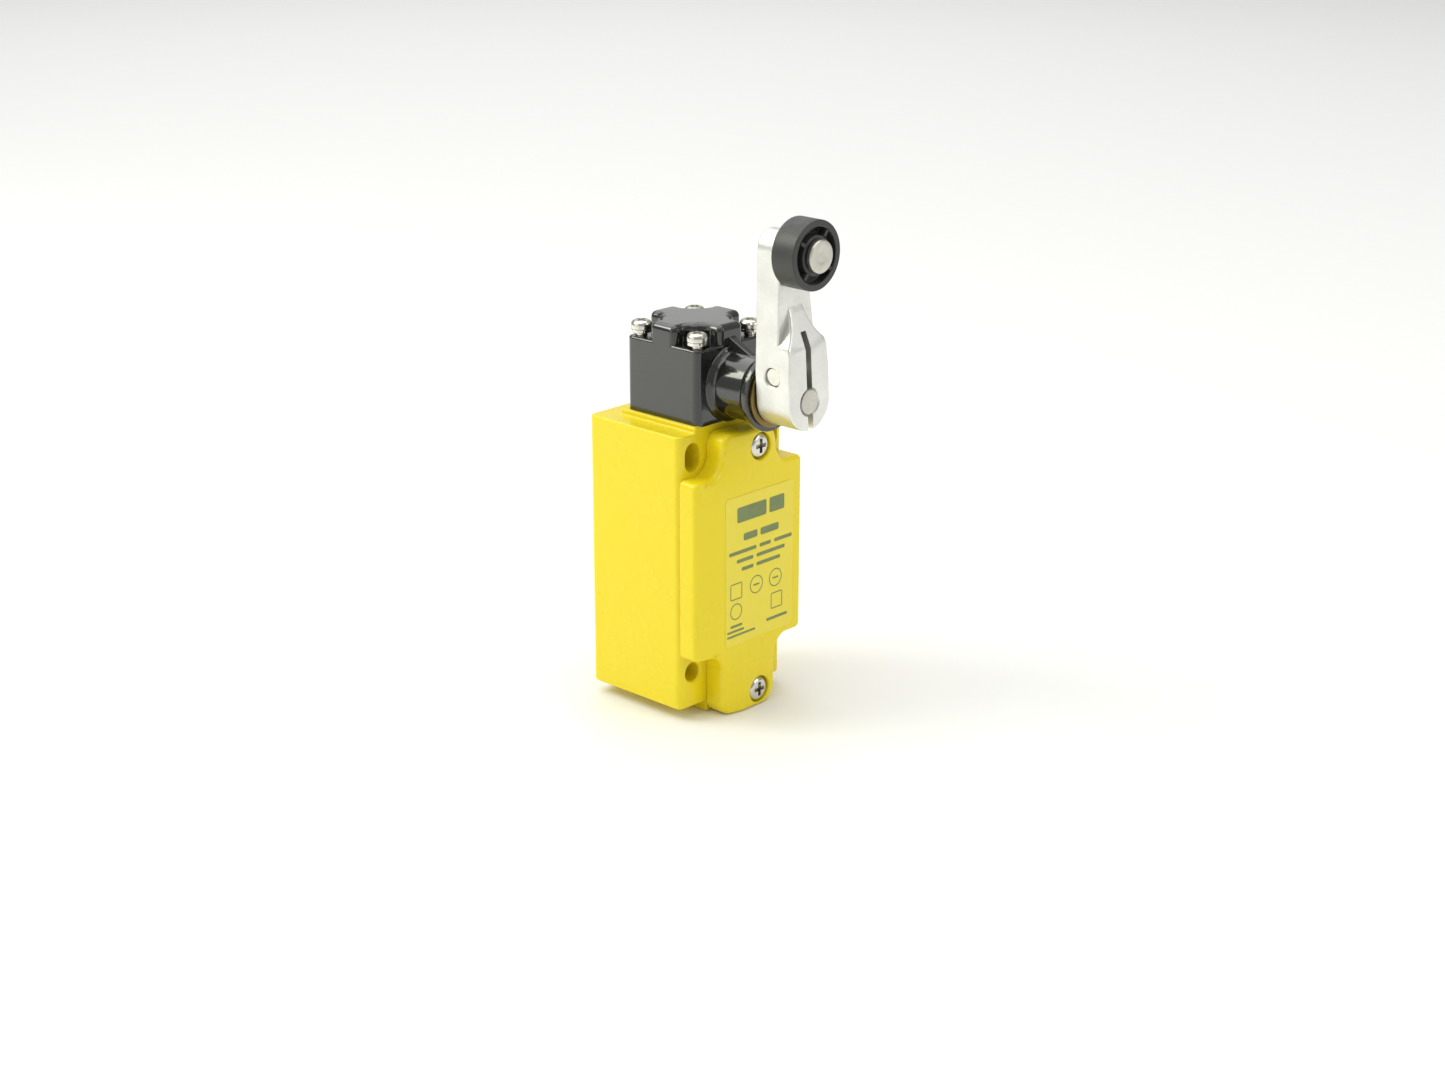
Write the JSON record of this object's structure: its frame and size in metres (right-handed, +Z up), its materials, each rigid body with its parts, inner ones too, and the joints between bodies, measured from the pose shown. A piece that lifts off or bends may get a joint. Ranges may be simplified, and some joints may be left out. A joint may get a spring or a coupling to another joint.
{
  "type": "roller lever limit switch",
  "caption": "Die-cast limit switch with a bolted front cover, a rotary head and a clamped roller lever that swings both ways.",
  "frame": {"origin": "middle of the four mounting holes on the back face", "axes": "+Y out of the back face, the cover faces -Y, +Z up towards the lever, +X to the right seen from the front"},
  "size_m": [0.04, 0.0661, 0.1381],
  "materials": {
    "body_paint": "smooth yellow powder coat on die-cast zinc",
    "head_paint": "glossy black coat on die-cast zinc",
    "marking_film": "thin satin film with plain printed marks",
    "lever_alloy": "bright satin die-casting",
    "nickel_screws": "nickel plate",
    "zinc_screws": "zinc plate",
    "shaft_steel": "ground steel",
    "pin_steel": "turned steel, satin",
    "spring_steel": "drawn spring wire",
    "bearing_bronze": "sintered bronze",
    "ring_brass": "turned brass",
    "contact_brass": "stamped brass with silver tips",
    "ground_brass": "brass",
    "seal_rubber": "nitrile rubber",
    "roller_plastic": "moulded nylon, matt",
    "block_plastic": "moulded thermoset",
    "lid_plastic": "moulded, ivory",
    "carrier_plastic": "moulded, white",
    "plunger_plastic": "moulded acetal"
  },
  "bodies": {
    "case": {"housing": "body_paint", "cover": "body_paint", "cover_gasket": "seal_rubber", "cover_screws": "nickel_screws", "marking_film": "marking_film", "head": "head_paint", "head_gasket": "seal_rubber", "head_screws": "nickel_screws", "spring_washers": "nickel_screws", "shaft_bushing": "bearing_bronze", "shaft_seal": "seal_rubber", "thrust_ring": "ring_brass", "contact_block": "block_plastic", "contact_block_cover": "lid_plastic", "contact_block_screws": "zinc_screws", "closed_fixed_contacts": "contact_brass", "open_fixed_contacts": "contact_brass", "terminal_screws": "zinc_screws", "terminal_clamps": "zinc_screws", "ground_screw": "ground_brass", "ground_clamp": "ground_brass"},
    "roller_lever": {"shaft": "shaft_steel", "cam": "shaft_steel", "cam_pin": "shaft_steel", "shaft_circlip": "spring_steel", "lever": "lever_alloy", "clamp_screw": "nickel_screws", "roller_pin": "pin_steel", "roller_washer": "pin_steel"},
    "track_roller": {"roller": "roller_plastic"},
    "pushrod": {"plunger": "plunger_plastic", "return_spring": "spring_steel"},
    "contact_slider": {"contact_carrier": "carrier_plastic", "closed_bridge": "contact_brass", "open_bridge": "contact_brass", "bridge_springs": "spring_steel"}
  },
  "joints": [
    {"name": "lever_swing", "type": "hinge", "parent": "case", "child": "roller_lever", "pos_m": [0, -0.06, 0.0472], "axis": [0, 1, 0], "range_deg": [-70, 70], "stiffness_Nm_per_rad": 0.15},
    {"name": "roller_spin", "type": "hinge", "parent": "roller_lever", "child": "track_roller", "pos_m": [-0.00265, -0.0607, 0.08611], "axis": [0, -1, 0], "continuous": true},
    {"name": "plunger_slide", "type": "slide", "parent": "case", "child": "pushrod", "axis": [0, 0, -1], "range_m": [0, 0.0025], "stiffness_N_per_m": 400, "springref_m": -0.004, "deforming": ["return_spring"]},
    {"name": "contact_slide", "type": "slide", "parent": "case", "child": "contact_slider", "axis": [0, 0, -1], "range_m": [0, 0.0025]}
  ],
  "couplings": [
    {"joint": "contact_slide", "follows": "plunger_slide", "ratio": 1}
  ]
}
